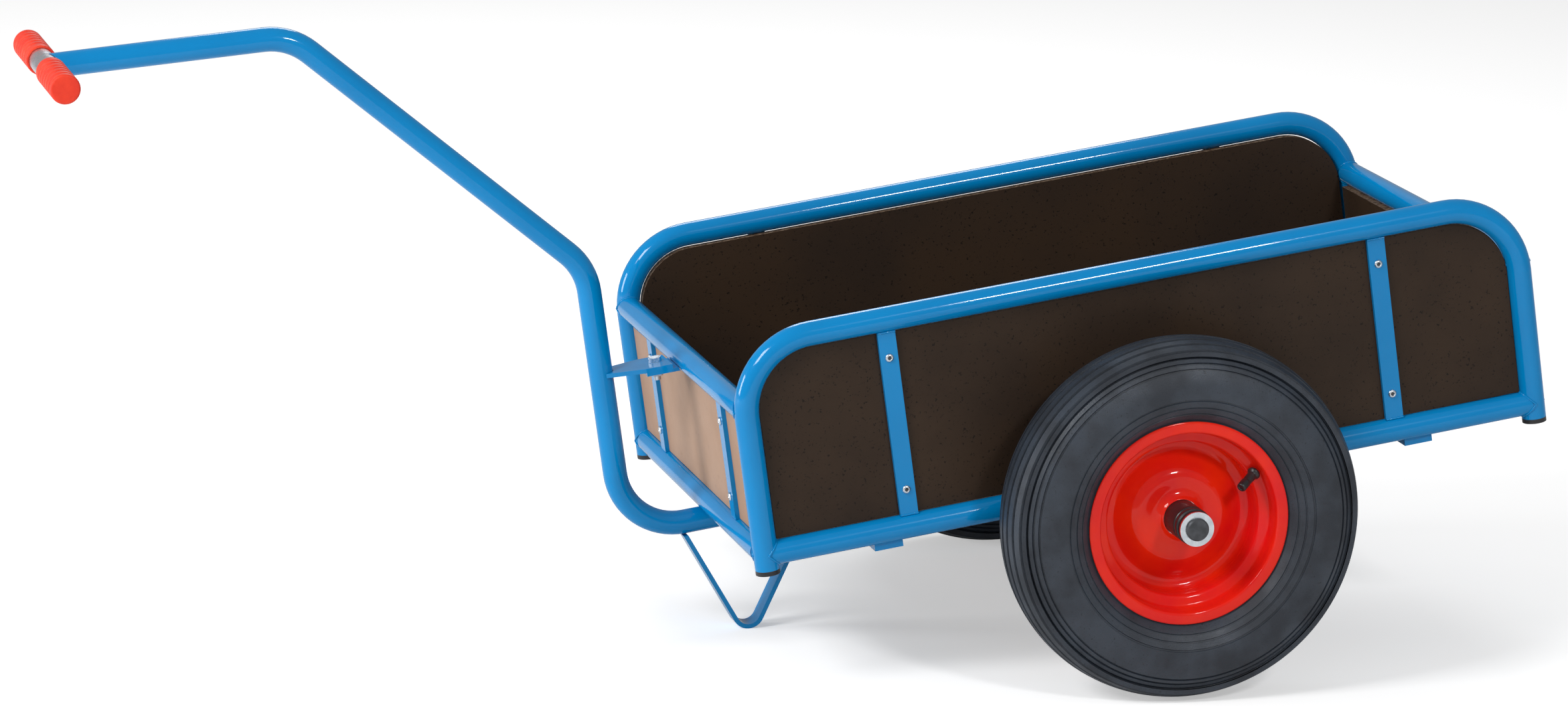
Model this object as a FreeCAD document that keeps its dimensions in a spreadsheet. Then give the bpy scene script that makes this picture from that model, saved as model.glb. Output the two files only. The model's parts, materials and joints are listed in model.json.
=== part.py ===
import FreeCAD, Part
import math
import os
import types

import Sketcher

# Two-wheeled hand cart, drawn in its own bed frame and then set down as it parks.
# Bed frame: origin midway between the four legs at the height of the bottom rails,
# +X towards the handle, +Y left, +Z up, in millimetres.
SIZES = {
    # Frame of bent and welded round tube
    "tube_diameter": 27, "tube_wall": 1.5,
    "bed_length": 886, "bed_width": 560, "side_rise": 232, "corner_radius": 80,
    "leg_drop": 17, "cap_height": 5, "cap_plug": 12, "cap_fit": 0.1, "end_bar_rise": 160, "bend_relief": 3.2,
    # Flat stays that the panels are screwed to, plywood panels and floor
    "stay_width": 20, "stay_thickness": 5, "side_stay_inset": 163, "end_stay_inset": 115,
    "panel_thickness": 12, "panel_gap": 0.8, "panel_foot_gap": 0.8, "floor_thickness": 12, "floor_gap": 2,
    "bearer_width": 32, "bearer_thickness": 8, "bearer_inset": 137,
    # Axle and wheels
    "axle_diameter": 25, "axle_chamfer": 1.5, "axle_overhang": 4, "wheel_offset": 78,
    "hub_diameter": 40, "hub_outer": 58, "hub_inner": 56, "hub_collar": 6, "hub_step": 2,
    "bore_clearance": 0.05, "washer_diameter": 38, "washer_thickness": 3, "washer_play": 0.4,
    "washer_fit": 0.1,
    "wheel_diameter": 400, "tyre_width": 100, "tyre_wall": 9, "shoulder_drop": 22, "tread_width": 68,
    "sidewall_foot": 22, "bead_fit": 0.2, "tyre_rounding": 20,
    "rim_diameter": 225, "rim_width": 70, "rim_sheet": 2.5, "seat_diameter": 203, "seat_width": 15,
    "well_diameter": 176, "well_slope": 7, "valley_diameter": 140, "valley_depth": 50,
    "boss_diameter": 98, "boss_depth": 33, "disc_flange": 12, "disc_fit": 0.1,
    "valve_diameter": 11, "valve_length": 29, "valve_radius": 88, "valve_depth": 16, "valve_lean": 57,
    "valve_turn": 57,
    # Drawbar, handle and their fastening
    "drawbar_bend": 70, "drawbar_tail": 18, "drawbar_stand_off": 97, "knee_rise": 281,
    "shoulder_reach": 385, "shoulder_rise": 595, "handle_reach": 650, "handle_rise": 609,
    "handle_width": 300, "grip_length": 112, "grip_diameter": 33, "grip_end": 4, "grip_fit": 0.1,
    "strap_rise": 158.5, "strap_thickness": 5, "strap_width": 50, "strap_nose": 26, "strap_heel": 20,
    "bracket_thickness": 4, "bracket_reach": 50, "bracket_width": 50, "bracket_foot": 10,
    "bolt_reach": 34, "bolt_diameter": 8, "bolt_clearance": 0.3, "bolt_tail": 5, "nut_across": 13,
    "head_height": 5.5, "nut_height": 6.5,
    # Parking stand, and how the cart leans on it
    "stand_width": 25, "stand_thickness": 5, "stand_bend": 16, "stand_head": 34, "stand_foot": 30,
    "stand_spare": 12, "weld_gap": 0.6, "park_tilt": 9.2,
}


class Size:
    """A number that remembers the spreadsheet formula it comes from."""

    def __init__(self, value, formula=None):
        self.value = float(value)
        self.formula = formula or repr(value)

    def _join(self, sign, other, value, swap=False):
        first, second = (other, self) if swap else (self, other)
        return Size(value, f"({first.formula} {sign} {second.formula})")

    def __add__(self, other):
        other = as_size(other)
        return self._join("+", other, self.value + other.value)

    def __sub__(self, other):
        other = as_size(other)
        return self._join("-", other, self.value - other.value)

    def __rsub__(self, other):
        other = as_size(other)
        return self._join("-", other, other.value - self.value, swap=True)

    def __mul__(self, other):
        other = as_size(other)
        return self._join("*", other, self.value * other.value)

    def __truediv__(self, other):
        other = as_size(other)
        return self._join("/", other, self.value / other.value)

    def __neg__(self):
        return Size(-self.value, f"(-1 * {self.formula})")

    __radd__ = __add__
    __rmul__ = __mul__


def as_size(number):
    """Return number as a Size."""
    return number if isinstance(number, Size) else Size(number)


def cosine(angle):
    """Return the cosine of an angle in degrees."""
    return Size(math.cos(math.radians(angle.value)), f"cos({angle.formula})")


def sine(angle):
    """Return the sine of an angle in degrees."""
    return Size(math.sin(math.radians(angle.value)), f"sin({angle.formula})")


document = FreeCAD.newDocument("hand_cart")
sheet = document.addObject("Spreadsheet::Sheet", "Sizes")
for row, (word, number) in enumerate(SIZES.items(), start=1):
    sheet.set(f"A{row}", word)
    sheet.set(f"B{row}", str(number))
    sheet.setAlias(f"B{row}", word)
document.recompute()
size = types.SimpleNamespace(**{word: Size(number, f"Sizes.{word}") for word, number in SIZES.items()})

# Sizes that follow from the driving ones
tube_radius = size.tube_diameter / 2
half_length = size.bed_length / 2
half_width = size.bed_width / 2
axle_radius = size.axle_diameter / 2
axle_drop = tube_radius + axle_radius
wheel_radius = size.wheel_diameter / 2
half_track = half_width + size.wheel_offset
tilt_cos = cosine(size.park_tilt)
tilt_sin = sine(size.park_tilt)
front_end = (half_length + size.handle_reach) * tilt_cos + size.handle_rise * tilt_sin + size.grip_diameter / 2
rear_end = (half_length + tube_radius) * tilt_cos + (size.leg_drop + size.cap_height) * tilt_sin
park_x = (rear_end - front_end) / 2
park_z = wheel_radius + axle_drop * tilt_cos
axle_x = park_x - axle_drop * tilt_sin

bodies = []


# ---------------------------------------------------------------- helpers

def bind(thing, path, amount):
    """Tie one property of a document object to a formula of the sheet."""
    thing.setExpression(path, as_size(amount).formula)


def bed_body(name):
    """Start a sub-part that is drawn in the bed frame and parked with the bed."""
    body = document.addObject("PartDesign::Body", name)
    body.Label = name
    body.Placement = FreeCAD.Placement(FreeCAD.Vector(1, 0, 1), FreeCAD.Rotation(FreeCAD.Vector(0, 1, 0), 1))
    bind(body, "Placement.Base.x", park_x)
    bind(body, "Placement.Base.z", park_z)
    bind(body, "Placement.Rotation.Angle", size.park_tilt)
    bodies.append(body)
    return body


def wheel_body(name, side):
    """Start a sub-part of a wheel: its own +Y points outboard along the axle, its origin is the wheel centre."""
    body = document.addObject("PartDesign::Body", name)
    body.Label = name
    turn = 0 if side > 0 else 180
    body.Placement = FreeCAD.Placement(FreeCAD.Vector(1, 1, 1), FreeCAD.Rotation(FreeCAD.Vector(0, 0, 1), turn))
    bind(body, "Placement.Base.x", axle_x)
    bind(body, "Placement.Base.y", half_track * side)
    bind(body, "Placement.Base.z", wheel_radius)
    bodies.append(body)
    return body


def sketch_on(body, role, offset=0, name="outline"):
    """Attach a sketch to one of the body's origin planes, moved along the plane's normal."""
    plane = next(item for item in body.Origin.OriginFeatures if item.Role == role)
    sketch = body.newObject("Sketcher::SketchObject", name)
    sketch.AttachmentSupport = [(plane, "")]
    sketch.MapMode = "FlatFace"
    bind(sketch, "AttachmentOffset.Base.z", offset)
    return sketch


def dimension(sketch, kind, amount, *places):
    """Add a dimension to a sketch and tie it to its formula."""
    amount = as_size(amount)
    index = sketch.addConstraint(Sketcher.Constraint(kind, *places, amount.value))
    bind(sketch, f"Constraints[{index}]", amount)


def pin_point(sketch, edge, end, point):
    """Dimension one end of an edge from the sketch's origin, across and up."""
    dimension(sketch, "DistanceX", point[0], edge, end)
    dimension(sketch, "DistanceY", point[1], edge, end)


def polyline(sketch, points, corners=None, closed=True):
    """Draw straight edges through the points and round the corners given as {point number: radius}."""
    points = [(as_size(across), as_size(up)) for across, up in points]
    places = [FreeCAD.Vector(across.value, up.value, 0) for across, up in points]
    first = sketch.GeometryCount
    edges = len(points) if closed else len(points) - 1
    for step in range(edges):
        sketch.addGeometry(Part.LineSegment(places[step], places[(step + 1) % len(points)]))
    for step in range(edges if closed else edges - 1):
        follower = first + (step + 1) % edges
        sketch.addConstraint(Sketcher.Constraint("Coincident", first + step, 2, follower, 1))
    for step in range(edges):
        pin_point(sketch, first + step, 1, points[step])
    if not closed:
        pin_point(sketch, first + edges - 1, 2, points[-1])
    for corner, radius in (corners or {}).items():
        before = first + (corner - 1) % edges
        arc = sketch.GeometryCount
        sketch.fillet(before, 2, as_size(radius).value, True, True)
        dimension(sketch, "Radius", radius, arc)


def circle(sketch, across, up, radius):
    """Draw a circle at a dimensioned centre."""
    across, up, radius = as_size(across), as_size(up), as_size(radius)
    centre = FreeCAD.Vector(across.value, up.value, 0)
    edge = sketch.addGeometry(Part.Circle(centre, FreeCAD.Vector(0, 0, 1), radius.value))
    pin_point(sketch, edge, 3, (across, up))
    dimension(sketch, "Radius", radius, edge)


def rectangle(sketch, left, right, low, high):
    """Draw an upright rectangle between four dimensioned sides."""
    polyline(sketch, [(left, low), (right, low), (right, high), (left, high)])


def tube_section(sketch, across, up):
    """Draw the ring of the frame tube."""
    circle(sketch, across, up, tube_radius)
    circle(sketch, across, up, tube_radius - size.tube_wall)


def pad(body, sketch, length, both_ways=False, back=False):
    """Extrude a sketch along its normal, against it, or half each way."""
    feature = body.newObject("PartDesign::Pad", "pad")
    feature.Profile = sketch
    feature.SideType = "Symmetric" if both_ways else "One side"
    feature.Reversed = back
    bind(feature, "Length", length)
    return feature


def cut_through(body, sketch):
    """Cut a sketch right through the body both ways, and make sure that it removed something."""
    document.recompute()
    before = body.Shape.Volume
    feature = body.newObject("PartDesign::Pocket", "cut")
    feature.Profile = sketch
    feature.SideType = "Symmetric"
    feature.Type = "ThroughAll"
    document.recompute()
    if not body.Shape.Volume < before:
        raise RuntimeError(f"{body.Label}: {sketch.Label} cuts nothing")


def turned(body, sketch, axis="H_Axis"):
    """Revolve a sketch once round one of its own axes."""
    feature = body.newObject("PartDesign::Revolution", "turn")
    feature.Profile = sketch
    feature.ReferenceAxis = (sketch, [axis])
    feature.Angle = 360
    return feature


def along(body, section, path):
    """Sweep a section along a path sketch."""
    feature = body.newObject("PartDesign::AdditivePipe", "sweep")
    feature.Profile = (section, [""])
    feature.Spine = (path, [""])
    return feature


def section_at_start(body, path):
    """Return an empty sketch that stands square across the path at its start."""
    document.recompute()
    sketch = body.newObject("Sketcher::SketchObject", "section")
    sketch.AttachmentSupport = [(path, "Edge1")]
    sketch.MapMode = "NormalToEdge"
    return sketch


# ---------------------------------------------------------------- tube frame

def side_hoop(name, side):
    """One side of the bed: legs and top rail bent from a single tube."""
    body = bed_body(name)
    path = sketch_on(body, "XZ_Plane", half_width * -side, "path")
    foot = -size.leg_drop
    points = [(half_length, foot), (half_length, size.side_rise), (-half_length, size.side_rise),
              (-half_length, foot)]
    polyline(path, points, {1: size.corner_radius, 2: size.corner_radius}, closed=False)
    section = sketch_on(body, "XY_Plane", foot, "section")
    tube_section(section, half_length, half_width * side)
    along(body, section, path)


def cope_legs(body, places):
    """Cut saddles where a bar meets upright legs."""
    sketch = sketch_on(body, "XY_Plane", 0, "saddles")
    for across, up in places:
        circle(sketch, across, up, tube_radius + size.weld_gap)
    cut_through(body, sketch)


def bottom_rail(name, side):
    """Straight tube between the two legs of one side."""
    body = bed_body(name)
    section = sketch_on(body, "YZ_Plane", 0, "section")
    tube_section(section, half_width * side, 0)
    pad(body, section, size.bed_length, both_ways=True)
    cope_legs(body, [(half_length * end, half_width * side) for end in (-1, 1)])


def end_bar(name, end, rise):
    """Cross tube between the left and right legs at one end, trimmed round the rails or the bends beside it."""
    body = bed_body(name)
    section = sketch_on(body, "XZ_Plane", 0, "section")
    tube_section(section, half_length * end, rise)
    pad(body, section, size.bed_width, both_ways=True)
    cope_legs(body, [(half_length * end, half_width * side) for side in (-1, 1)])
    if rise:
        cope_legs(body, [((half_length - size.bend_relief) * end, half_width * side) for side in (-1, 1)])
        return
    mitres = sketch_on(body, "YZ_Plane", 0, "mitres")
    for side in (-1, 1):
        circle(mitres, half_width * side, 0, tube_radius + size.weld_gap)
    cut_through(body, mitres)


def leg_caps(name, side):
    """Plastic plugs in the feet of one hoop."""
    body = bed_body(name)
    caps = sketch_on(body, "XY_Plane", -size.leg_drop, "caps")
    for end in (-1, 1):
        circle(caps, half_length * end, half_width * side, tube_radius)
    pad(body, caps, size.cap_height, back=True)
    plugs = sketch_on(body, "XY_Plane", -size.leg_drop, "plugs")
    for end in (-1, 1):
        circle(plugs, half_length * end, half_width * side, tube_radius - size.tube_wall - size.cap_fit)
    pad(body, plugs, size.cap_plug)


# ---------------------------------------------------------------- stays, panels and floor

def side_stays(name, side):
    """Two upright flats between bottom rail and top rail, outside the panel."""
    body = bed_body(name)
    sketch = sketch_on(body, "XZ_Plane", half_width * -side, "flats")
    for end in (-1, 1):
        middle = (half_length - size.side_stay_inset) * end
        rectangle(sketch, middle - size.stay_width / 2, middle + size.stay_width / 2,
                  tube_radius, size.side_rise - tube_radius)
    pad(body, sketch, size.stay_thickness, back=side > 0)


def end_stays(name, end):
    """Two upright flats between the two cross tubes of one end."""
    body = bed_body(name)
    sketch = sketch_on(body, "YZ_Plane", half_length * end, "flats")
    for side in (-1, 1):
        middle = (half_width - size.end_stay_inset) * side
        rectangle(sketch, middle - size.stay_width / 2, middle + size.stay_width / 2,
                  tube_radius, size.end_bar_rise - tube_radius)
    pad(body, sketch, size.stay_thickness, back=end < 0)


def side_panel(name, side):
    """Plywood side board inside the hoop, with round upper corners."""
    body = bed_body(name)
    sketch = sketch_on(body, "XZ_Plane", half_width * -side, "board")
    reach = half_length - tube_radius - size.panel_gap
    top = size.side_rise - tube_radius - size.panel_gap
    bottom = tube_radius + size.panel_foot_gap
    rounding = size.corner_radius - tube_radius - size.panel_gap
    points = [(-reach, bottom), (reach, bottom), (reach, top), (-reach, top)]
    polyline(sketch, points, {2: rounding, 3: rounding})
    pad(body, sketch, size.panel_thickness, back=side < 0)


def end_panel(name, end):
    """Plywood end board between the cross tubes, standing between the side boards."""
    body = bed_body(name)
    sketch = sketch_on(body, "YZ_Plane", half_length * end, "board")
    reach = half_width - tube_radius - size.panel_gap
    rectangle(sketch, -reach, reach, tube_radius + size.panel_foot_gap,
              size.end_bar_rise - tube_radius - size.panel_foot_gap)
    pad(body, sketch, size.panel_thickness, back=end > 0)


def floor_panel(name):
    """Plywood floor lying on the bearers and the axle, between the bottom tubes."""
    body = bed_body(name)
    sketch = sketch_on(body, "XY_Plane", -tube_radius, "board")
    along_reach = half_length - tube_radius - size.floor_gap
    across_reach = half_width - tube_radius - size.floor_gap
    rectangle(sketch, -along_reach, along_reach, -across_reach, across_reach)
    pad(body, sketch, size.floor_thickness)


def bearer(name, end):
    """Flat bar welded crosswise under the bottom rails."""
    body = bed_body(name)
    sketch = sketch_on(body, "XZ_Plane", 0, "section")
    middle = (half_length - size.bearer_inset) * end
    rectangle(sketch, middle - size.bearer_width / 2, middle + size.bearer_width / 2,
              -tube_radius - size.bearer_thickness, -tube_radius)
    pad(body, sketch, size.bed_width, both_ways=True)


# ---------------------------------------------------------------- axle and wheels

def axle(name):
    """Round bar under the bottom rails that carries both wheels."""
    body = bed_body(name)
    sketch = sketch_on(body, "YZ_Plane", 0, "section")
    reach = half_track + size.hub_outer + size.washer_play + size.washer_thickness + size.axle_overhang
    points = [(-reach, -axle_drop), (-reach, -axle_drop + axle_radius - size.axle_chamfer),
              (-reach + size.axle_chamfer, -axle_drop + axle_radius),
              (reach - size.axle_chamfer, -axle_drop + axle_radius),
              (reach, -axle_drop + axle_radius - size.axle_chamfer), (reach, -axle_drop)]
    polyline(sketch, points)
    line = sketch.addGeometry(Part.LineSegment(FreeCAD.Vector(-1, -1, 0), FreeCAD.Vector(1, -1, 0)), True)
    sketch.addConstraint(Sketcher.Constraint("Horizontal", line))
    pin_point(sketch, line, 1, (-reach, -axle_drop))
    dimension(sketch, "DistanceX", reach, line, 2)
    turned(body, sketch, "Axis0")


def axle_washers(name, side):
    """Thrust washers on the axle at both ends of a hub."""
    body = wheel_body(name, side)
    sketch = sketch_on(body, "YZ_Plane")
    low, high = axle_radius + size.washer_fit, size.washer_diameter / 2
    outer = size.hub_outer + size.washer_play
    inner = -size.hub_inner - size.washer_play
    rectangle(sketch, outer, outer + size.washer_thickness, low, high)
    rectangle(sketch, inner - size.washer_thickness, inner, low, high)
    turned(body, sketch)


def wheel_hub(name, side):
    """Bearing hub that turns on the axle."""
    body = wheel_body(name, side)
    sketch = sketch_on(body, "YZ_Plane")
    bore = axle_radius + size.bore_clearance
    high = size.hub_diameter / 2
    neck = high - size.hub_step
    inner, outer = -size.hub_inner, size.hub_outer
    points = [(inner, bore), (inner, neck), (inner + size.hub_collar, neck), (inner + size.hub_collar, high),
              (outer - size.hub_collar, high), (outer - size.hub_collar, neck), (outer, neck), (outer, bore)]
    polyline(sketch, points)
    turned(body, sketch)


def wheel_rim(name, side):
    """Pressed steel rim with bead seats and a drop centre."""
    body = wheel_body(name, side)
    sketch = sketch_on(body, "YZ_Plane")
    sheet_steel = size.rim_sheet
    lip, seat, well = size.rim_diameter / 2, size.seat_diameter / 2, size.well_diameter / 2
    edge = size.rim_width / 2
    seat_end = edge - sheet_steel - size.seat_width
    well_end = seat_end - size.well_slope
    outside = [(edge, lip), (edge - sheet_steel, lip), (edge - sheet_steel, seat), (seat_end, seat),
               (well_end, well)]
    inside = [(edge, seat - sheet_steel), (seat_end, seat - sheet_steel), (well_end, well - sheet_steel)]
    points = outside + [(-across, up) for across, up in reversed(outside)]
    points += [(-across, up) for across, up in inside]
    points += list(reversed(inside))
    polyline(sketch, points)
    turned(body, sketch)


def wheel_disc(name, side):
    """Dished disc between the hub and the rim's drop centre."""
    body = wheel_body(name, side)
    sketch = sketch_on(body, "YZ_Plane")
    sheet_steel = size.rim_sheet
    rise = size.well_diameter / 2 - sheet_steel - size.disc_fit
    edge = size.rim_width / 2
    valley, boss = edge - size.valley_depth, edge - size.boss_depth
    hub = size.hub_diameter / 2 + size.disc_fit
    points = [(boss, hub), (boss, size.boss_diameter / 2), (valley, size.valley_diameter / 2),
              (valley, rise - sheet_steel), (valley + size.disc_flange, rise - sheet_steel),
              (valley + size.disc_flange, rise), (valley - sheet_steel, rise),
              (valley - sheet_steel, size.valley_diameter / 2 - sheet_steel),
              (boss - sheet_steel, size.boss_diameter / 2 - sheet_steel), (boss - sheet_steel, hub)]
    polyline(sketch, points)
    turned(body, sketch)


def tyre(name, side):
    """Pneumatic tyre: a U-shaped carcass seated on the rim."""
    body = wheel_body(name, side)
    sketch = sketch_on(body, "YZ_Plane")
    wall = size.tyre_wall
    bead = size.seat_diameter / 2 + size.bead_fit
    foot = size.rim_width / 2 - size.rim_sheet - size.bead_fit
    belly = size.rim_diameter / 2 + size.sidewall_foot
    wide, tread = size.tyre_width / 2, size.tread_width / 2
    shoulder = wheel_radius - size.shoulder_drop
    outside = [(foot, bead), (foot, size.rim_diameter / 2 + size.bead_fit), (wide, belly), (wide, shoulder),
               (tread, wheel_radius)]
    inside = [(foot - wall, bead), (foot - wall, size.rim_diameter / 2 + wall / 2), (wide - wall, belly),
              (wide - wall, shoulder - wall / 2), (tread - wall / 2, wheel_radius - wall)]
    points = outside + [(-across, up) for across, up in reversed(outside)]
    points += [(-across, up) for across, up in inside]
    points += list(reversed(inside))
    rounding = dict.fromkeys((2, 3, 6, 7), size.tyre_rounding)
    polyline(sketch, points, rounding)
    turned(body, sketch)


def valve(name, side):
    """Rubber valve that leans out of the slope of the rim, above the rear of the wheel."""
    body = wheel_body(name, side)
    body.Placement = FreeCAD.Placement(FreeCAD.Vector(1, 1, 1), FreeCAD.Rotation(FreeCAD.Vector(0, -1, 0), 1))
    bind(body, "Placement.Rotation.Angle", size.valve_turn)
    path = sketch_on(body, "YZ_Plane", 0, "path")
    root = (size.rim_width / 2 - size.valve_depth, size.valve_radius)
    tip = (root[0] + cosine(size.valve_lean) * size.valve_length, root[1] - sine(size.valve_lean) * size.valve_length)
    polyline(path, [(root[0] * side, root[1]), (tip[0] * side, tip[1])], closed=False)
    section = section_at_start(body, path)
    circle(section, 0, 0, size.valve_diameter / 2)
    along(body, section, path)


# ---------------------------------------------------------------- drawbar, handle and stand

def drawbar_tube(name):
    """Bent tube from under the front cross tube up to the handle."""
    body = bed_body(name)
    path = sketch_on(body, "XZ_Plane", 0, "path")
    under = -size.tube_diameter
    upright = half_length + size.drawbar_stand_off
    tail = (half_length - size.drawbar_tail, under)
    points = [tail, (upright, under), (upright, size.knee_rise),
              (half_length + size.shoulder_reach, size.shoulder_rise),
              (half_length + size.handle_reach, size.handle_rise)]
    bend = size.drawbar_bend
    polyline(path, points, {1: bend, 2: bend, 3: bend}, closed=False)
    section = sketch_on(body, "YZ_Plane", tail[0], "section")
    tube_section(section, 0, tail[1])
    along(body, section, path)
    saddle = sketch_on(body, "XZ_Plane", 0, "saddle")
    circle(saddle, *points[-1], tube_radius + size.weld_gap)
    cut_through(body, saddle)


def handle_tube(name):
    """Cross tube of the handle."""
    body = bed_body(name)
    section = sketch_on(body, "XZ_Plane", 0, "section")
    tube_section(section, half_length + size.handle_reach, size.handle_rise)
    pad(body, section, size.handle_width - size.grip_end * 2, both_ways=True)


def grip(name, side):
    """Sleeve with a closed end pushed over one end of the handle tube."""
    body = bed_body(name)
    reach, rise = half_length + size.handle_reach, size.handle_rise
    end = size.handle_width / 2
    sleeve = sketch_on(body, "XZ_Plane", (end - size.grip_end) * -side, "sleeve")
    circle(sleeve, reach, rise, size.grip_diameter / 2)
    circle(sleeve, reach, rise, tube_radius + size.grip_fit)
    pad(body, sleeve, size.grip_length - size.grip_end, back=side < 0)
    cap = sketch_on(body, "XZ_Plane", (end - size.grip_end) * -side, "cap")
    circle(cap, reach, rise, size.grip_diameter / 2)
    pad(body, cap, size.grip_end, back=side > 0)


def bolt_hole(body):
    """Cut the hole for the drawbar bolt."""
    sketch = sketch_on(body, "XY_Plane", size.strap_rise, "hole")
    circle(sketch, half_length + size.bolt_reach, 0, size.bolt_diameter / 2 + size.bolt_clearance)
    cut_through(body, sketch)


def drawbar_strap(name):
    """Tapered plate from the drawbar back over the bracket."""
    body = bed_body(name)
    sketch = sketch_on(body, "XY_Plane", size.strap_rise - size.strap_thickness / 2, "plate")
    heel = half_length + size.strap_heel
    nose = half_length + size.drawbar_stand_off
    wide = half_length + size.bracket_reach
    points = [(heel, size.strap_width / -2), (wide, size.strap_width / -2), (nose, size.strap_nose / -2),
              (nose, size.strap_nose / 2), (wide, size.strap_width / 2), (heel, size.strap_width / 2)]
    polyline(sketch, points)
    pad(body, sketch, size.strap_thickness)
    saddle = sketch_on(body, "XY_Plane", 0, "saddle")
    circle(saddle, nose, 0, tube_radius + size.weld_gap)
    cut_through(body, saddle)
    bolt_hole(body)


def drawbar_bracket(name):
    """Plate welded to the front cross tube that the strap is bolted to."""
    body = bed_body(name)
    top = size.strap_rise - size.strap_thickness / 2
    sketch = sketch_on(body, "XY_Plane", top, "plate")
    rectangle(sketch, half_length + size.bracket_foot, half_length + size.bracket_reach,
              size.bracket_width / -2, size.bracket_width / 2)
    pad(body, sketch, size.bracket_thickness, back=True)
    saddle = sketch_on(body, "XZ_Plane", 0, "saddle")
    circle(saddle, half_length, size.end_bar_rise, tube_radius + size.weld_gap)
    cut_through(body, saddle)
    bolt_hole(body)


def hexagon(sketch, across, up, flats):
    """Draw a hexagon by its width across flats."""
    corner = flats / (cosine(Size(30)) * 2)
    points = []
    for step in range(6):
        turn = Size(60 * step)
        points.append((across + corner * cosine(turn), up + corner * sine(turn)))
    polyline(sketch, points)


def drawbar_bolt(name):
    """Bolt, head and nut that clamp the strap to the bracket."""
    body = bed_body(name)
    across = half_length + size.bolt_reach
    top = size.strap_rise + size.strap_thickness / 2
    bottom = size.strap_rise - size.strap_thickness / 2 - size.bracket_thickness
    shank = sketch_on(body, "XY_Plane", bottom - size.nut_height - size.bolt_tail, "shank")
    circle(shank, across, 0, size.bolt_diameter / 2)
    pad(body, shank, top - bottom + size.nut_height + size.bolt_tail)
    head = sketch_on(body, "XY_Plane", top, "head")
    hexagon(head, across, Size(0), size.nut_across)
    pad(body, head, size.head_height)
    nut = sketch_on(body, "XY_Plane", bottom, "nut")
    hexagon(nut, across, Size(0), size.nut_across)
    pad(body, nut, size.nut_height, back=True)


def parking_stand(name):
    """Flat bar bent into a V between the drawbar and the front bearer, its bend on the ground."""
    body = bed_body(name)
    path = sketch_on(body, "XZ_Plane", 0, "path")
    drawbar_underside = -size.tube_diameter - tube_radius
    bearer_underside = -tube_radius - size.bearer_thickness
    head = (half_length + size.stand_head, drawbar_underside + size.stand_spare)
    tail = (half_length - size.bearer_inset, bearer_underside + size.stand_spare)
    bend = size.stand_bend
    centre_x = half_length - size.stand_foot
    centre_z = (bend + size.stand_thickness / 2 - park_z + centre_x * tilt_sin) / tilt_cos
    corner = FreeCAD.Vector(centre_x.value, centre_z.value - 1.5 * bend.value, 0)
    ends = [FreeCAD.Vector(across.value, up.value, 0) for across, up in (head, tail)]
    path.addGeometry(Part.LineSegment(ends[0], corner))
    path.addGeometry(Part.LineSegment(corner, ends[1]))
    path.addConstraint(Sketcher.Constraint("Coincident", 0, 2, 1, 1))
    pin_point(path, 0, 1, head)
    pin_point(path, 1, 2, tail)
    arc = path.GeometryCount
    path.fillet(0, 2, bend.value, True, False)
    pin_point(path, arc, 3, (centre_x, centre_z))
    dimension(path, "Radius", bend, arc)
    section = section_at_start(body, path)
    rectangle(section, size.stand_width / -2, size.stand_width / 2, size.stand_thickness / -2,
              size.stand_thickness / 2)
    along(body, section, path)
    trims = sketch_on(body, "XZ_Plane", 0, "trims")
    room = size.stand_spare * 2
    for (across, up), level in ((head, drawbar_underside), (tail, bearer_underside)):
        rectangle(trims, across - room, across + room, level - size.weld_gap, up + room)
    cut_through(body, trims)


# ---------------------------------------------------------------- the whole cart

for word, side in (("left", 1), ("right", -1)):
    side_hoop(f"{word}_side_hoop", side)
    bottom_rail(f"{word}_bottom_rail", side)
    leg_caps(f"{word}_leg_caps", side)
    side_stays(f"{word}_side_stays", side)
    side_panel(f"{word}_side_panel", side)
for word, end in (("front", 1), ("rear", -1)):
    end_bar(f"{word}_top_bar", end, size.end_bar_rise)
    end_bar(f"{word}_bottom_bar", end, 0)
    end_stays(f"{word}_end_stays", end)
    end_panel(f"{word}_end_panel", end)
    bearer(f"{word}_floor_bearer", end)
floor_panel("floor_panel")
axle("axle")
for word, side in (("left", 1), ("right", -1)):
    axle_washers(f"{word}_axle_washers", side)
    wheel_hub(f"{word}_wheel_hub", side)
    wheel_disc(f"{word}_wheel_disc", side)
    wheel_rim(f"{word}_wheel_rim", side)
    tyre(f"{word}_tyre", side)
    valve(f"{word}_valve", side)
    grip(f"{word}_grip", side)
drawbar_tube("drawbar_tube")
drawbar_strap("drawbar_strap")
drawbar_bracket("drawbar_bracket")
drawbar_bolt("drawbar_bolt")
handle_tube("handle_tube")
parking_stand("parking_stand")

document.recompute()
for thing in document.Objects:
    if "Invalid" in thing.State or "Error" in thing.State:
        raise RuntimeError(f"{thing.Name}: {thing.State}")
for body in bodies:
    if body.Shape.isNull() or not body.Shape.isValid():
        raise RuntimeError(f"{body.Label} has no valid shape")
os.makedirs("parts", exist_ok=True)
for body in bodies:
    body.Shape.exportStep(f"parts/{body.Label}.step")
    print(body.Label, len(body.Shape.Solids), round(body.Shape.Volume))
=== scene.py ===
"""Looks of a two-wheeled hand cart: enamelled tube frame, plywood boards, pneumatic wheels."""
import json
import logging
import math
from dataclasses import dataclass, field
from enum import Enum
from typing import Callable

import bmesh
import bpy
from mathutils import Matrix, Vector


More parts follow.
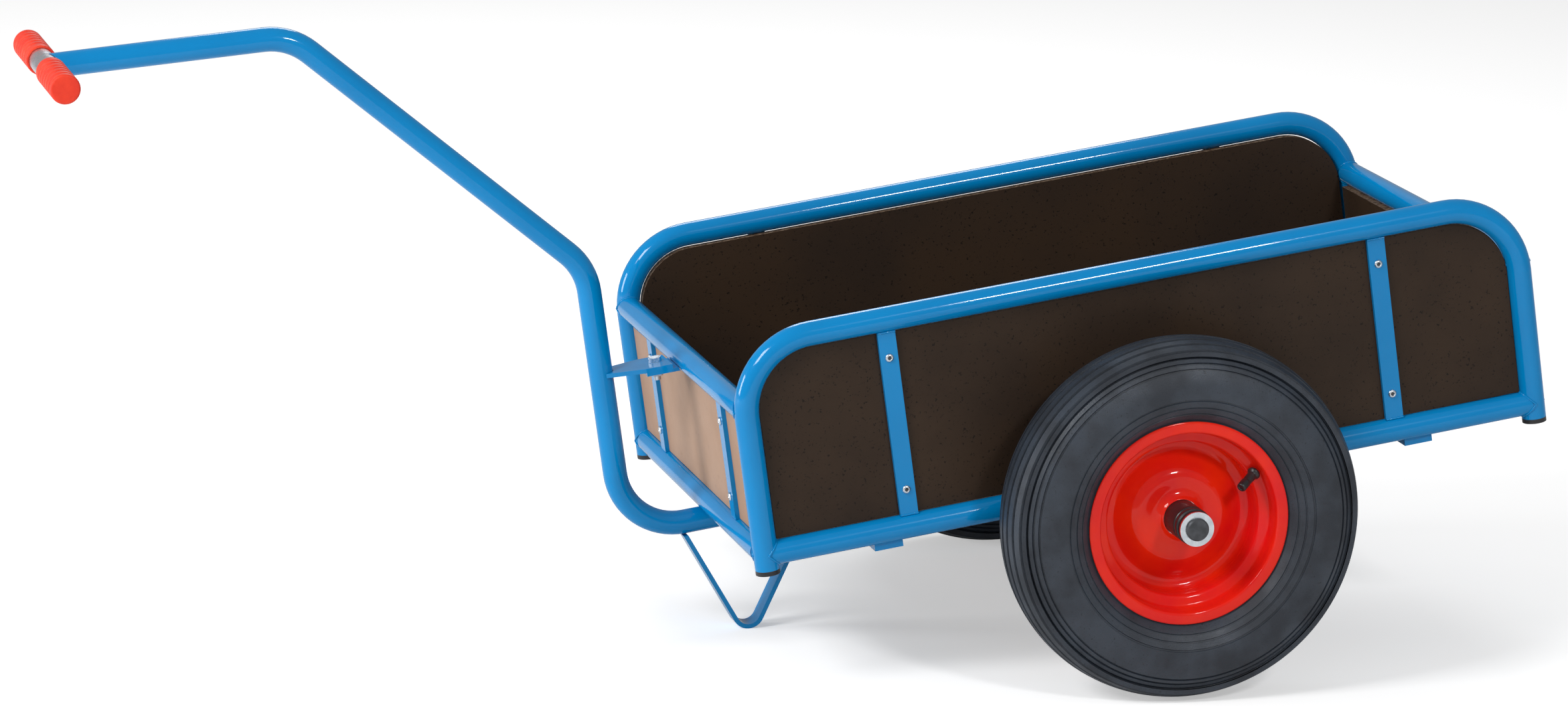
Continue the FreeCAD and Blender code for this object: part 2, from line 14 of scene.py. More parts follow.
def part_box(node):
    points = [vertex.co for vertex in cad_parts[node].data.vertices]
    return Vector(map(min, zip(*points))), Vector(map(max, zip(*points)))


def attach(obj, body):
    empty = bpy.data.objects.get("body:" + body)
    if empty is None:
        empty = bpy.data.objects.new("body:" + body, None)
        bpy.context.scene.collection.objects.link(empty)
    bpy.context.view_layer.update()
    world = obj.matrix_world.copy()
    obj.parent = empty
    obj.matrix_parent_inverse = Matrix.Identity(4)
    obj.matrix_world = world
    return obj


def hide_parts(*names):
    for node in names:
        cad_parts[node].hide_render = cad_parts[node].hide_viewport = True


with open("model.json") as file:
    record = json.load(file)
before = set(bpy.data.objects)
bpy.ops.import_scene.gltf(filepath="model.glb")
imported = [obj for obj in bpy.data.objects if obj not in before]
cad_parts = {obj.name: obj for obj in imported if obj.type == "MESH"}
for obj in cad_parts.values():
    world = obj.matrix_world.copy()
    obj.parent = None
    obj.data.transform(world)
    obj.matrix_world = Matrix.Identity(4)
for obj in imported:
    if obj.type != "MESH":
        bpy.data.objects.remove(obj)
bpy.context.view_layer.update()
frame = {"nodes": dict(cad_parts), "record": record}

MM = 0.001
LOG = logging.getLogger("hand_cart")
Point = tuple[float, float]


class Side(Enum):
    """The two sides of the cart, by the sign of Y."""

    LEFT = 1
    RIGHT = -1

    @property
    def word(self) -> str:
        """Return the side's name as the nodes use it."""
        return self.name.lower()


class End(Enum):
    """The two ends of the bed, by the sign of X."""

    FRONT = 1
    REAR = -1

    @property
    def word(self) -> str:
        """Return the end's name as the nodes use it."""
        return self.name.lower()


# ---------------------------------------------------------------- shader groups

def new_group(name: str, inputs: dict[str, float], outputs: list[str]) -> bpy.types.NodeTree:
    """Start a shader node group on Object coordinates.

    Args:
        name: The group's name.
        inputs: Float inputs with their defaults.
        outputs: Names of float outputs.

    Returns:
        The group with its Group Input and Group Output nodes.
    """
    tree = bpy.data.node_groups.new(name, "ShaderNodeTree")
    for word, default in inputs.items():
        socket = tree.interface.new_socket(word, in_out="INPUT", socket_type="NodeSocketFloat")
        socket.default_value = default
    for word in outputs:
        tree.interface.new_socket(word, in_out="OUTPUT", socket_type="NodeSocketFloat")
    tree.nodes.new("NodeGroupInput").name = "in"
    tree.nodes.new("NodeGroupOutput").name = "out"
    return tree


def noise_into(tree: bpy.types.NodeTree, scale_input: str, detail: float = 4.0) -> bpy.types.Node:
    """Add a noise texture on Object coordinates whose scale is a group input.

    Args:
        tree: The group.
        scale_input: Name of the input that sets the scale.
        detail: The noise's octaves.

    Returns:
        The noise node.
    """
    place = tree.nodes.new("ShaderNodeTexCoord")
    noise = tree.nodes.new("ShaderNodeTexNoise")
    noise.inputs["Detail"].default_value = detail
    tree.links.new(place.outputs["Object"], noise.inputs["Vector"])
    tree.links.new(tree.nodes["in"].outputs[scale_input], noise.inputs["Scale"])
    return noise


def remap(tree: bpy.types.NodeTree, source: bpy.types.NodeSocket, low: float, high: float,
          to_low: float = 0.0, to_high: float = 1.0) -> bpy.types.NodeSocket:
    """Add a clamped Map Range node.

    Args:
        tree: The node tree.
        source: The value to map.
        low: Source value that gives to_low.
        high: Source value that gives to_high.
        to_low: Result at the low end.
        to_high: Result at the high end.

    Returns:
        The mapped value.
    """
    node = tree.nodes.new("ShaderNodeMapRange")
    for word, amount in (("From Min", low), ("From Max", high), ("To Min", to_low), ("To Max", to_high)):
        node.inputs[word].default_value = amount
    tree.links.new(source, node.inputs["Value"])
    return node.outputs["Result"]


def mottle_group() -> bpy.types.NodeTree:
    """Build the cloudy mask that every finish uses for slight unevenness.

    Returns:
        The group.
    """
    tree = new_group("mottle", {"Scale": 20.0}, ["Mask"])
    noise = noise_into(tree, "Scale")
    tree.links.new(remap(tree, noise.outputs["Fac"], 0.35, 0.65), tree.nodes["out"].inputs["Mask"])
    return tree


def specks_group() -> bpy.types.NodeTree:
    """Build the fine dark specks of filmed plywood and worn rubber.

    Returns:
        The group.
    """
    tree = new_group("specks", {"Scale": 300.0}, ["Mask"])
    noise = noise_into(tree, "Scale", 2.0)
    tree.links.new(remap(tree, noise.outputs["Fac"], 0.63, 0.72), tree.nodes["out"].inputs["Mask"])
    return tree


def facing_group() -> bpy.types.NodeTree:
    """Build values of how far a surface faces along the bed's length, width and height.

    Returns:
        The group. Its input is the turn that takes out the bed's pitch.
    """
    tree = new_group("facing", {"Pitch": 0.0}, ["Lengthwise", "Crosswise", "Upright"])
    normal = tree.nodes.new("ShaderNodeNewGeometry")
    turn = tree.nodes.new("ShaderNodeVectorRotate")
    turn.rotation_type = "Y_AXIS"
    split = tree.nodes.new("ShaderNodeSeparateXYZ")
    tree.links.new(normal.outputs["Normal"], turn.inputs["Vector"])
    tree.links.new(tree.nodes["in"].outputs["Pitch"], turn.inputs["Angle"])
    tree.links.new(turn.outputs["Vector"], split.inputs["Vector"])
    for axis, word in (("X", "Lengthwise"), ("Y", "Crosswise"), ("Z", "Upright")):
        tree.links.new(split.outputs[axis], tree.nodes["out"].inputs[word])
    return tree


@dataclass(frozen=True)
class Finish:
    """A painted, moulded or plated surface with slight mottling.

    Attributes:
        name: The material's name.
        slot: The record's slot that it belongs to.
        colour: Base colour, linear.
        shade: Colour of the mottled patches, linear.
        roughness: Lowest and highest roughness.
        mottle: Scale of the mottling.
        grain: Scale of the fine bump.
        relief: Height of the fine bump in metres.
        metal: Metallic amount.
        coat: Clear coat weight.
        specks: Scale of dark specks, or 0 for none.
        gloss: Specular level of the base layer.
    """

    name: str
    slot: str
    colour: tuple[float, float, float]
    shade: tuple[float, float, float]
    roughness: tuple[float, float] = (0.3, 0.4)
    mottle: float = 12.0
    grain: float = 600.0
    relief: float = 0.00003
    metal: float = 0.0
    coat: float = 0.0
    specks: float = 0.0
    gloss: float = 0.5

    def build(self, groups: dict[str, bpy.types.NodeTree]) -> bpy.types.Material:
        """Make the material.

        Args:
            groups: The shared node groups by name.

        Returns:
            The finished material.
        """
        material = bpy.data.materials.new(self.name)
        material.use_nodes = True
        tree = material.node_tree
        shader = tree.nodes["Principled BSDF"]
        shader.inputs["Metallic"].default_value = self.metal
        shader.inputs["Coat Weight"].default_value = self.coat
        shader.inputs["Specular IOR Level"].default_value = self.gloss
        shader.inputs["Coat Roughness"].default_value = 0.05
        mask = use_group(tree, groups["mottle"], Scale=self.mottle)
        colour = mix_colour(tree, mask.outputs["Mask"], self.colour, self.shade)
        if self.specks:
            dots = use_group(tree, groups["specks"], Scale=self.specks)
            dark = tuple(channel * 0.35 for channel in self.colour)
            colour = mix_colour(tree, dots.outputs["Mask"], colour, dark)
        tree.links.new(colour, shader.inputs["Base Color"])
        rough = remap(tree, mask.outputs["Mask"], 0.0, 1.0, *self.roughness)
        tree.links.new(rough, shader.inputs["Roughness"])
        grain = use_group(tree, groups["mottle"], Scale=self.grain)
        add_bump(tree, shader, grain.outputs["Mask"], self.relief)
        return material


def use_group(tree: bpy.types.NodeTree, group: bpy.types.NodeTree, **values: float) -> bpy.types.Node:
    """Place a shared group in a material with its own values.

    Args:
        tree: The material's tree.
        group: The shared group.
        **values: Input values by name.

    Returns:
        The group's node.
    """
    node = tree.nodes.new("ShaderNodeGroup")
    node.node_tree = group
    for word, amount in values.items():
        node.inputs[word].default_value = amount
    return node


def mix_colour(tree: bpy.types.NodeTree, factor: bpy.types.NodeSocket, first: object,
               second: object) -> bpy.types.NodeSocket:
    """Mix two colours.

    Args:
        tree: The material's tree.
        factor: Share of the second colour.
        first: A socket or a linear triple.
        second: A socket or a linear triple.

    Returns:
        The mixed colour.
    """
    node = tree.nodes.new("ShaderNodeMix")
    node.data_type = "RGBA"
    tree.links.new(factor, node.inputs["Factor"])
    for index, colour in ((6, first), (7, second)):
        if isinstance(colour, bpy.types.NodeSocket):
            tree.links.new(colour, node.inputs[index])
        else:
            node.inputs[index].default_value = (*colour, 1.0)
    return node.outputs[2]


def add_bump(tree: bpy.types.NodeTree, shader: bpy.types.Node, height: bpy.types.NodeSocket,
             distance: float) -> None:
    """Feed a height through a Bump node into the shader's normal.

    Args:
        tree: The material's tree.
        shader: The Principled shader.
        height: The height.
        distance: Depth of the relief in metres.
    """
    bump = tree.nodes.new("ShaderNodeBump")
    bump.inputs["Distance"].default_value = distance
    tree.links.new(height, bump.inputs["Height"])
    tree.links.new(bump.outputs["Normal"], shader.inputs["Normal"])


BLUE = Finish("blue_enamel", "blue_enamel", colour=(0.0, 0.235, 0.56), shade=(0.0, 0.215, 0.52),
              roughness=(0.16, 0.22), mottle=9.0, grain=500.0, relief=0.00001, coat=0.6, gloss=0.05)
RED = Finish("red_enamel", "red_enamel", colour=(0.85, 0.024, 0.004), shade=(0.74, 0.008, 0.008),
             roughness=(0.14, 0.2), mottle=14.0, grain=300.0, relief=0.00001, coat=0.5, gloss=0.05)
RUBBER = Finish("tyre_rubber", "tyre_rubber", colour=(0.032, 0.042, 0.058), shade=(0.016, 0.021, 0.03),
                roughness=(0.36, 0.55), mottle=26.0, grain=900.0, relief=0.0001, specks=420.0)
BLACK = Finish("black_plastic", "black_plastic", colour=(0.012, 0.012, 0.014), shade=(0.02, 0.02, 0.022),
               roughness=(0.28, 0.42), mottle=60.0, grain=1500.0)
GRIP = Finish("red_grip", "red_grip", colour=(0.84, 0.05, 0.018), shade=(0.74, 0.034, 0.014),
              roughness=(0.4, 0.5), mottle=70.0, grain=1800.0, relief=0.00006, gloss=0.3)
ZINC = Finish("zinc_plated_steel", "zinc_plated_steel", colour=(0.75, 0.79, 0.83), shade=(0.62, 0.68, 0.74),
              roughness=(0.22, 0.36), mottle=90.0, grain=1600.0, metal=1.0)
# Dark steel for the axle; the same material darkens the screw recesses as painted shade.
DARK_STEEL = Finish("axle_steel_and_recess_shade", "zinc_plated_steel", colour=(0.09, 0.095, 0.105),
                    shade=(0.06, 0.064, 0.07), roughness=(0.4, 0.55), mottle=120.0, grain=1500.0, metal=0.6)


@dataclass(frozen=True)
class Plywood:
    """Film-faced plywood: dark film on its faces, pale veneer lines on its edges, and a tan painted light on the
    outward face of the end boards.
    """

    name: str
    face_axis: str
    # Which way the face with the tan painted light looks along the bed, or 0 for none.
    painted_lit_sign: float = 0.0
    film: tuple[float, float, float] = (0.04, 0.023, 0.013)
    film_shade: tuple[float, float, float] = (0.026, 0.015, 0.009)
    # Tan painted light for the outward face of the end boards, and its mottled tone.
    painted_lit_face: tuple[float, float, float] = (0.41, 0.258, 0.172)
    painted_lit_face_shade: tuple[float, float, float] = (0.36, 0.222, 0.146)
    edge: tuple[float, float, float] = (0.3, 0.2, 0.13)
    edge_dark: tuple[float, float, float] = (0.12, 0.07, 0.042)
    gloss: float = 0.2
    roughness: tuple[float, float] = (0.42, 0.55)
    cloud_scale: float = 7.0
    film_speck_scale: float = 330.0
    painted_lit_speck_scale: float = 90.0
    veneer_scale: float = 260.0
    speck_pit: float = 0.00006

    def build(self, groups: dict[str, bpy.types.NodeTree], pitch: float) -> bpy.types.Material:
        """Make the material.

        Args:
            groups: The shared node groups by name.
            pitch: The bed's pitch in radians.

        Returns:
            The finished material.
        """
        material = bpy.data.materials.new(self.name)
        material.use_nodes = True
        tree = material.node_tree
        shader = tree.nodes["Principled BSDF"]
        shader.inputs["Specular IOR Level"].default_value = self.gloss
        cloud = use_group(tree, groups["mottle"], Scale=self.cloud_scale).outputs["Mask"]
        specks = use_group(tree, groups["specks"], Scale=self.film_speck_scale).outputs["Mask"]
        film = mix_colour(tree, cloud, self.film, self.film_shade)
        film = mix_colour(tree, specks, film, tuple(channel * 0.25 for channel in self.film))
        facing = use_group(tree, groups["facing"], Pitch=-pitch)
        toward = facing.outputs[self.face_axis]
        # The outward face of an end board is painted tan: painted light for the strong light that falls on that
        # face.
        if self.painted_lit_sign:
            painted_lit_face = mix_colour(tree, cloud, self.painted_lit_face, self.painted_lit_face_shade)
            pale_specks = use_group(tree, groups["specks"], Scale=self.painted_lit_speck_scale).outputs["Mask"]
            painted_lit_face = mix_colour(tree, pale_specks, painted_lit_face, self.painted_lit_face_shade)
            sign = tree.nodes.new("ShaderNodeMath")
            sign.operation = "MULTIPLY"
            sign.inputs[1].default_value = self.painted_lit_sign
            tree.links.new(toward, sign.inputs[0])
            film = mix_colour(tree, remap(tree, sign.outputs[0], 0.7, 0.8), film, painted_lit_face)
        size = tree.nodes.new("ShaderNodeMath")
        size.operation = "ABSOLUTE"
        tree.links.new(toward, size.inputs[0])
        layers = tree.nodes.new("ShaderNodeTexNoise")
        layers.inputs["Scale"].default_value = self.veneer_scale
        place = tree.nodes.new("ShaderNodeTexCoord")
        tree.links.new(place.outputs["Object"], layers.inputs["Vector"])
        edge = mix_colour(tree, remap(tree, layers.outputs["Fac"], 0.45, 0.55), self.edge, self.edge_dark)
        tree.links.new(mix_colour(tree, remap(tree, size.outputs[0], 0.6, 0.75), edge, film),
                       shader.inputs["Base Color"])
        tree.links.new(remap(tree, cloud, 0.0, 1.0, *self.roughness), shader.inputs["Roughness"])
        add_bump(tree, shader, specks, -self.speck_pit)
        return material


# ---------------------------------------------------------------- mesh helpers

def finish_piece(name: str, mesh: bmesh.types.BMesh, place: Matrix, body: str, material: bpy.types.Material,
                 replaces: tuple[str, ...] = (), smooth: float = 40.0) -> bpy.types.Object:
    """Turn a bmesh into a piece of the cart.

    Args:
        name: The piece's name.
        mesh: Its mesh in millimetres, in its own frame. It is freed.
        place: Where that frame stands, in metres.
        body: The body it rides on.
        material: Its finish.
        replaces: CAD nodes that it stands for.
        smooth: Edges up to this angle in degrees are shaded smooth.

    Returns:
        The new object.
    """
    bmesh.ops.remove_doubles(mesh, verts=mesh.verts[:], dist=0.01)
    bmesh.ops.recalc_face_normals(mesh, faces=mesh.faces[:])
    bmesh.ops.transform(mesh, matrix=place @ Matrix.Scale(MM, 4), verts=mesh.verts[:])
    limit = math.radians(smooth)
    for face in mesh.faces:
        face.smooth = True
    for edge in mesh.edges:
        edge.smooth = edge.is_manifold and edge.calc_face_angle(0.0) < limit
    data = bpy.data.meshes.new(name)
    mesh.to_mesh(data)
    mesh.free()
    piece = bpy.data.objects.new(name, data)
    bpy.context.scene.collection.objects.link(piece)
    data.materials.append(material)
    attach(piece, body)
    if replaces:
        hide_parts(*replaces)
    LOG.info("%s: %d faces", name, len(data.polygons))
    return piece


def rounded(points: list[Point], radius: float, closed: bool = False, steps: int = 4) -> list[Point]:
    """Round the corners of an outline.

    Args:
        points: Corner points.
        radius: How far from a corner the rounding starts, less where an edge is short.
        closed: Whether the last point joins the first.
        steps: Segments in each corner.

    Returns:
        The outline with a smooth curve in place of each corner.
    """
    outline: list[Point] = []
    count = len(points)
    for index, corner in enumerate(points):
        if not closed and index in (0, count - 1):
            outline.append(corner)
            continue
        here = Vector(corner)
        before, after = Vector(points[index - 1]) - here, Vector(points[(index + 1) % count]) - here
        start = here + before.normalized() * min(radius, before.length * 0.45)
        end = here + after.normalized() * min(radius, after.length * 0.45)
        for step in range(steps + 1):
            part = step / steps
            bent = start * (1 - part) ** 2 + here * 2 * part * (1 - part) + end * part ** 2
            outline.append((bent.x, bent.y))
    return outline


def spun(outline: list[Point], closed: bool, segments: int = 96) -> bmesh.types.BMesh:
    """Spin an outline once round the Y axis.

    Args:
        outline: Points as (along Y, out from Y).
        closed: Whether the last point joins the first.
        segments: Steps of a full turn.

    Returns:
        The new mesh.
    """
    mesh = bmesh.new()
    verts = [mesh.verts.new((0.0, along, out)) for along, out in outline]
    edges = [mesh.edges.new(pair) for pair in zip(verts, verts[1:])]
    if closed:
        edges.append(mesh.edges.new((verts[-1], verts[0])))
    bmesh.ops.spin(mesh, geom=verts + edges, cent=(0, 0, 0), axis=(0, 1, 0), angle=math.tau, steps=segments,
                   use_merge=True)
    return mesh


def join_into(target: bmesh.types.BMesh, part: bmesh.types.BMesh) -> None:
    """Add a mesh to another and free it.

    Args:
        target: The mesh that grows.
        part: The mesh that is added.
    """
    carrier = bpy.data.meshes.new("carrier")
    part.to_mesh(carrier)
    part.free()
    target.from_mesh(carrier)
    bpy.data.meshes.remove(carrier)


def bead_ring(mesh: bmesh.types.BMesh, path: Callable[[float], Vector], width: float, steps: int = 40,
              closed: bool = True) -> None:
    """Lay a weld bead with slight ripples along a path.

    Args:
        mesh: The mesh that takes the bead.
        path: Gives a point for each part from 0 to 1.
        width: The bead's width in millimetres.
        steps: Rings along the path.
        closed: Whether the path meets itself.
    """
    ripple_height, ripple_pace = 0.12, 2.1
    half_step = 0.5 / steps
    rings = []
    for step in range(steps if closed else steps + 1):
        part = step / steps
        if closed:
            next_part, last_part = (part + half_step) % 1.0, (part - half_step) % 1.0
        else:
            next_part, last_part = min(part + half_step, 1.0), max(part - half_step, 0.0)
        ahead = (path(next_part) - path(last_part)).normalized()
        swell = 1.0 + ripple_height * math.sin(step * ripple_pace)
        turn = ahead.to_track_quat("Z", "Y").to_matrix().to_4x4()
        made = bmesh.ops.create_circle(mesh, segments=8, radius=width / 2 * swell,
                                       matrix=Matrix.Translation(path(part)) @ turn)
        rings.append(made["verts"])
    pairs = list(zip(rings, rings[1:])) + ([(rings[-1], rings[0])] if closed else [])
    for first, second in pairs:
        edges = {edge for vert in first + second for edge in vert.link_edges
                 if edge.is_wire or len(edge.link_faces) < 2}
        edges = [edge for edge in edges
                 if all(vert in first for vert in edge.verts) or all(vert in second for vert in edge.verts)]
        bmesh.ops.bridge_loops(mesh, edges=edges)


# ---------------------------------------------------------------- the cart's own frame

@dataclass
class Bed:
    """Main sizes of the bed in millimetres, and where its frame stands as the cart parks."""

    pitch: float = math.radians(9.2)
    half_length: float = 443.0
    half_width: float = 280.0
    side_rise: float = 232.0
    bar_rise: float = 160.0
    tube: float = 13.5
    axle_drop: float = 26.0
    side_stay_inset: float = 163.0
    end_stay_inset: float = 115.0
    stay_thickness: float = 5.0
    place: Matrix = field(init=False)

    def __post_init__(self) -> None:
        """Find the bed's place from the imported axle."""
        low, high = (Vector(corner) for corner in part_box("axle"))
        turn = Matrix.Rotation(self.pitch, 4, "Y")
        middle = (low + high) / 2
        self.place = Matrix.Translation(middle) @ turn @ Matrix.Translation((0, 0, self.axle_drop * MM))


# ---------------------------------------------------------------- wheels

@dataclass
class Wheel:
    """One wheel: ribbed tyre, pressed rim and disc, valve and hub bush."""

    side: Side
    radius: float = 200.0
    half_tyre: float = 50.0
    rim: float = 112.5
    half_rim: float = 35.0
    rim_sheet: float = 2.5
    seat: float = 101.5
    well: float = 88.0
    hub: float = 20.0
    valve_turn: float = math.radians(33)
    valve_lean: float = math.radians(57)
    valve_root: Point = (18.0, 92.0)
    tread_drop: float = 0.4
    tread_spread: float = 150.0
    half_middle_groove: float = 3.0
    middle_groove_floor: float = 2.2
    rib: float = 7.6
    groove: float = 4.2
    groove_depth: float = 5.0
    groove_lean: float = 0.5
    ribs_per_side: int = 3
    wall_inset: float = 0.15
    wall_squash: float = 0.98
    smooth_stations: tuple[float, ...] = (49.0, 12.0, 0.0, -42.0)
    wall_grooves: tuple[tuple[float, float, float], ...] = (
        (44.5, 41.5, 2.6), (35.5, 33.0, 2.2), (27.5, 25.5, 1.8),
        (-12.5, -14.5, 1.1), (-23.5, -25.0, 1.0), (-33.5, -35.0, 1.0))
    wall_groove_lean: float = 0.5

    def place(self) -> Matrix:
        """Return the wheel's frame: +Y outboard, origin at its centre."""
        low, high = (Vector(corner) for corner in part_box(f"{self.side.word}_tyre"))
        turn = Matrix.Rotation(0.0 if self.side is Side.LEFT else math.pi, 4, "Z")
        return Matrix.Translation((low + high) / 2) @ turn

    @property
    def body(self) -> str:
        """Return the body that the wheel's pieces ride on."""
        return f"{self.side.word}_wheel"

    def wall_stations(self) -> list[Point]:
        """Return angles down the shoulder and sidewall, each with the depth of its groove.

        Returns:
            Pairs of an angle in degrees above the section's widest line, and a depth.
        """
        stations = [(angle, 0.0) for angle in self.smooth_stations]
        lean = self.wall_groove_lean
        for start, stop, sink in self.wall_grooves:
            stations += [(start + lean, 0.0), (start, sink), (stop, sink), (stop - lean, 0.0)]
        return sorted(stations, reverse=True)

    def tyre_outline(self) -> list[Point]:
        """Return the section of the tyre with its tread ribs, shoulder ribs and sidewall lines.

        Returns:
            A closed outline of (along the axle, out from the axle) points.
        """
        floor = self.radius - self.groove_depth
        half: list[Point] = [(0.0, floor), (self.middle_groove_floor, floor),
                             (self.half_middle_groove, self.radius - self.tread_drop)]
        depth, lean = self.groove_depth, self.groove_lean
        across = self.half_middle_groove
        for _ in range(self.ribs_per_side):
            across += self.rib
            far = across + self.groove
            half += [(across, self.crown(across)), (across + lean, self.crown(across) - depth),
                     (far - lean, self.crown(far) - depth), (far, self.crown(far))]
            across = far
        for angle, sink in self.wall_stations():
            turn = math.radians(angle)
            reach = self.half_tyre - self.wall_inset - sink
            rise = reach * math.sin(turn) * self.wall_squash
            half.append((reach * math.cos(turn), self.radius - self.half_tyre + rise))
        half += [(33.5, self.rim + 2.0), (32.2, self.rim + 0.6), (32.2, self.seat + 0.3),
                 (20.0, self.seat + 0.3)]
        mirrored = [(-along, out) for along, out in reversed(half[1:])]
        return mirrored + half

    def crown(self, across: float) -> float:
        """Return the tread's radius at a distance from the middle."""
        return self.radius - self.tread_drop - across ** 2 / self.tread_spread

    def build(self, dressed: dict[str, bpy.types.Material]) -> None:
        """Make the wheel's pieces.

        Args:
            dressed: The finished materials by name.
        """
        word, place = self.side.word, self.place()
        finish_piece(f"{word}_ribbed_tyre", spun(self.tyre_outline(), True, 144), place, self.body,
                     dressed["tyre_rubber"], (f"{word}_tyre",), 32.0)
        finish_piece(f"{word}_pressed_rim", self.rim_mesh(), place, self.body, dressed["red_enamel"],
                     (f"{word}_wheel_rim", f"{word}_wheel_disc"))
        finish_piece(f"{word}_rubber_valve", self.valve_mesh(), place, self.body, dressed["black_plastic"],
                     (f"{word}_valve",))
        finish_piece(f"{word}_hub_bush", self.hub_mesh(), place, self.body, dressed["black_plastic"],
                     (f"{word}_wheel_hub",))

    def rim_mesh(self) -> bmesh.types.BMesh:
        """Model the rim's barrel and dished disc as pressed sheet.

        Returns:
            The mesh in the wheel's frame.
        """
        edge, sheet = self.half_rim, self.rim_sheet
        barrel = [(edge, self.rim), (edge, self.seat - 1.0), (edge - 4, self.seat - 2.5),
                  (19.0, self.seat - 3.5), (15.5, self.seat - 5.0), (13.5, self.well - 1.0),
                  (10.0, self.well - 3.0), (-10.0, self.well - 3.0), (-13.5, self.well - 1.0),
                  (-15.5, self.seat - 5.0), (-edge + 2, self.seat - 3.0), (-edge, self.seat),
                  (-edge, self.rim)]
        back = [(-edge + sheet, self.rim), (-edge + sheet, self.seat), (-16.5, self.seat),
                (-12.5, self.well), (12.5, self.well), (16.5, self.seat), (edge - sheet, self.seat),
                (edge - sheet, self.rim)]
        mesh = spun(rounded(barrel + back, 2.6, True), True, 128)
        disc = [(-3.0, self.well - 3.2), (-12.0, self.well - 3.6), (-15.5, self.well - 9.0), (-15.5, 71.0),
                (-10.0, 64.0), (-1.0, 53.0), (2.4, 46.0), (2.0, 30.0), (4.5, 24.5), (9.0, self.hub + 0.2)]
        underside = [(6.0, self.hub + 0.2), (-0.6, 29.0), (-0.4, 45.0), (-4.0, 51.0),
                     (-13.0, 62.0), (-18.0, 70.0), (-18.0, self.well - 7.0),
                     (-13.0, self.well - 0.6), (-3.0, self.well - 0.6)]
        outline = rounded(disc + underside, 5.0, True, 5)
        second = spun(outline, True, 128)
        join_into(mesh, second)
        return mesh

    def hub_mesh(self) -> bmesh.types.BMesh:
        """Model the hub tube with its plastic bush and lip rings.

        Returns:
            The mesh in the wheel's frame.
        """
        bore = 12.6
        outline = [(-56, bore), (-56, 17.5), (-50, 18), (-50, 20), (40, 20), (41, 18.6), (43, 18.6), (44, 20),
                   (50, 20), (51, 18.2), (57.2, 18.2), (58, 17.4), (58, bore)]
        return spun(rounded(outline, 0.8, True, 2), True, 64)

    def valve_mesh(self) -> bmesh.types.BMesh:
        """Model the snap-in rubber valve that leans out of the rim.

        Returns:
            The mesh in the wheel's frame.
        """
        outline = [(0.0, 0.01), (0.0, 7.4), (2.5, 7.4), (5.0, 5.4), (17.0, 4.9), (18.0, 5.4), (27.0, 5.4),
                   (28.5, 4.6), (28.5, 3.0), (27.6, 2.4), (27.6, 0.01)]
        mesh = spun(rounded(outline, 0.7, False, 2), False, 28)
        up = Matrix.Rotation(-self.valve_lean, 4, "X")
        root = Matrix.Translation((0, *self.valve_root))
        swing = self.valve_turn - math.pi / 2 if self.side is Side.LEFT else math.pi / 2 - self.valve_turn
        bmesh.ops.transform(mesh, matrix=Matrix.Rotation(swing, 4, "Y") @ root @ up, verts=mesh.verts[:])
        return mesh


# ---------------------------------------------------------------- handle grips

@dataclass
class Grip:
    """One ribbed sleeve of the handle with a smooth round end."""

    side: Side
    radius: float = 16.4
    length: float = 112.0
    bore: float = 13.6
    ribs: int = 6
    cap: float = 9.0
    cap_wall: float = 6.0
    plain_ends: float = 16.0
    groove_depth: float = 2.5
    groove_slope: float = 1.2
    groove_end: float = 7.2

    def build(self, dressed: dict[str, bpy.types.Material]) -> None:
        """Model the grip with its ribs.

        Args:
            dressed: The finished materials by name.
        """
        node = f"{self.side.word}_grip"
        low, high = (Vector(corner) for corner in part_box(node))
        outer = high.y if self.side is Side.LEFT else low.y
        middle = (low + high) / 2
        place = Matrix.Translation((middle.x, outer, middle.z)) @ Matrix.Rotation(
            0.0 if self.side is Side.LEFT else math.pi, 4, "Z")
        outline: list[Point] = [(0.0, 0.01), (0.0, self.radius - 2.2), (-1.0, self.radius - 0.6),
                                (-2.6, self.radius), (-self.cap, self.radius)]
        pitch = (self.length - self.plain_ends) / self.ribs
        floor = self.radius - self.groove_depth
        for number in range(self.ribs):
            start = -self.cap - number * pitch
            outline += [(start - self.groove_slope, floor), (start - self.groove_end + self.groove_slope, floor),
                        (start - self.groove_end, self.radius), (start - pitch, self.radius)]
        outline += [(-self.length + 0.6, self.radius), (-self.length, self.radius - 1.2),
                    (-self.length, self.bore), (-self.cap_wall, self.bore), (-self.cap_wall, 0.01)]
        finish_piece(f"{self.side.word}_ribbed_grip", spun(rounded(outline, 0.8, False, 2), False, 56), place,
                     "cart_frame", dressed["red_grip"], (node,), 50.0)


# ---------------------------------------------------------------- small hardware and welds

